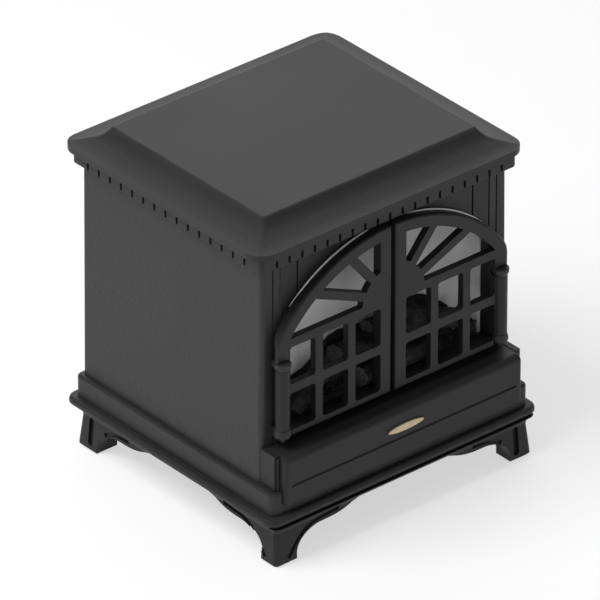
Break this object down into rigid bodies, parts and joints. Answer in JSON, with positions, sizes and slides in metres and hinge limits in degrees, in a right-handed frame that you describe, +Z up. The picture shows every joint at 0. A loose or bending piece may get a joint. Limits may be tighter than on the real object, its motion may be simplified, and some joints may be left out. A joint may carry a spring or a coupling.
{
  "type": "electric fireplace",
  "caption": "Small stove-shaped electric fireplace heater with a moulded cap, arched double doors with sunburst glazing bars, a glowing log bed and bracket feet.",
  "frame": {"origin": "centre of the footprint on the floor", "axes": "+X to the object's own right seen from the front, +Y towards its back, +Z up; the doors face -Y"},
  "size_m": [0.202, 0.1886, 0.21],
  "materials": {
    "cap_black": "satin",
    "moulding_black": "satin",
    "cabinet_black": "textured matte",
    "fascia_black": "satin",
    "door_black": "satin",
    "hinge_black": "satin",
    "lip_black": "satin",
    "grille_black": "matte",
    "plinth_black": "satin",
    "leg_black": "satin",
    "badge_metal": "brushed",
    "pad_rubber": "matte",
    "screw_steel": "zinc plated",
    "magnet_steel": "nickel plated",
    "chamber_black": "heatproof matte",
    "screen_smoke": "frosted",
    "ember_resin": "rough",
    "log_resin": "rough bark",
    "board_green": "solder mask",
    "spindle_metal": "bright",
    "motor_steel": "plated",
    "bearing_plastic": "natural nylon",
    "impeller_metal": "plain",
    "duct_steel": "galvanised",
    "heater_metal": "finned",
    "sensor_steel": "plain",
    "tilt_plastic": "plain",
    "cover_black": "textured",
    "switch_black": "gloss",
    "rocker_red": "gloss",
    "thermostat_plastic": "plain",
    "knob_black": "satin"
  },
  "bodies": {
    "chassis": {"ash_lip": "lip_black", "badge_plate": "badge_metal", "base_plinth": "plinth_black", "base_screws": "screw_steel", "cabinet_shell": "cabinet_black", "cap_screws": "screw_steel", "control_board": "board_green", "cover_screws": "screw_steel", "dentil_moulding": "moulding_black", "door_magnets": "magnet_steel", "ember_bed": "ember_resin", "fan_bush": "bearing_plastic", "fan_motor": "motor_steel", "fan_scroll": "duct_steel", "firebox_hood": "chamber_black", "flame_screen": "screen_smoke", "flame_switch_body": "switch_black", "foot_pad_front_left": "pad_rubber", "foot_pad_front_right": "pad_rubber", "foot_pad_rear_left": "pad_rubber", "foot_pad_rear_right": "pad_rubber", "front_fascia": "fascia_black", "hearth_tray": "chamber_black", "heat_switch_body": "switch_black", "heating_element": "heater_metal", "led_board": "board_green", "left_hinge_pin": "hinge_black", "left_lower_hinge_collar": "hinge_black", "left_side_liner": "chamber_black", "left_upper_hinge_collar": "hinge_black", "leg_frame": "leg_black", "log_back": "log_resin", "log_front": "log_resin", "log_left": "log_resin", "log_right": "log_resin", "log_top": "log_resin", "mains_inlet": "switch_black", "outlet_duct": "duct_steel", "outlet_grille": "grille_black", "rear_cover": "cover_black", "right_hinge_pin": "hinge_black", "right_lower_hinge_collar": "hinge_black", "right_side_liner": "chamber_black", "right_upper_hinge_collar": "hinge_black", "spindle_bearing": "bearing_plastic", "spindle_motor": "motor_steel", "thermal_cutout": "sensor_steel", "thermostat_body": "thermostat_plastic", "tilt_switch": "tilt_plastic", "top_cap": "cap_black"},
    "left_door": {"left_door": "door_black", "left_striker": "magnet_steel"},
    "right_door": {"right_door": "door_black", "right_striker": "magnet_steel"},
    "flame_spindle": {"flame_spindle": "spindle_metal"},
    "fan_impeller": {"fan_impeller": "impeller_metal"},
    "heat_rocker": {"heat_rocker": "rocker_red"},
    "flame_rocker": {"flame_rocker": "rocker_red"},
    "thermostat_knob": {"thermostat_knob": "knob_black"}
  },
  "joints": [
    {"name": "left_door_hinge", "type": "hinge", "parent": "chassis", "child": "left_door", "pos_m": [-0.0812, -0.0804, 0.1], "axis": [0, 0, -1], "range_deg": [0, 110]},
    {"name": "right_door_hinge", "type": "hinge", "parent": "chassis", "child": "right_door", "pos_m": [0.0812, -0.0804, 0.1], "axis": [0, 0, 1], "range_deg": [0, 110]},
    {"name": "flame_spindle_spin", "type": "hinge", "parent": "chassis", "child": "flame_spindle", "pos_m": [0, -0.036, 0.098], "axis": [1, 0, 0], "continuous": true},
    {"name": "fan_spin", "type": "hinge", "parent": "chassis", "child": "fan_impeller", "pos_m": [-0.004, 0.03, 0.0537], "axis": [1, 0, 0], "continuous": true},
    {"name": "heat_rocker_tilt", "type": "hinge", "parent": "chassis", "child": "heat_rocker", "pos_m": [-0.042, 0.0816, 0.15], "axis": [1, 0, 0], "range_deg": [0, 14]},
    {"name": "flame_rocker_tilt", "type": "hinge", "parent": "chassis", "child": "flame_rocker", "pos_m": [-0.014, 0.0816, 0.15], "axis": [1, 0, 0], "range_deg": [0, 14]},
    {"name": "thermostat_turn", "type": "hinge", "parent": "chassis", "child": "thermostat_knob", "pos_m": [0.026, 0.089, 0.15], "axis": [0, -1, 0], "range_deg": [0, 270]}
  ]
}
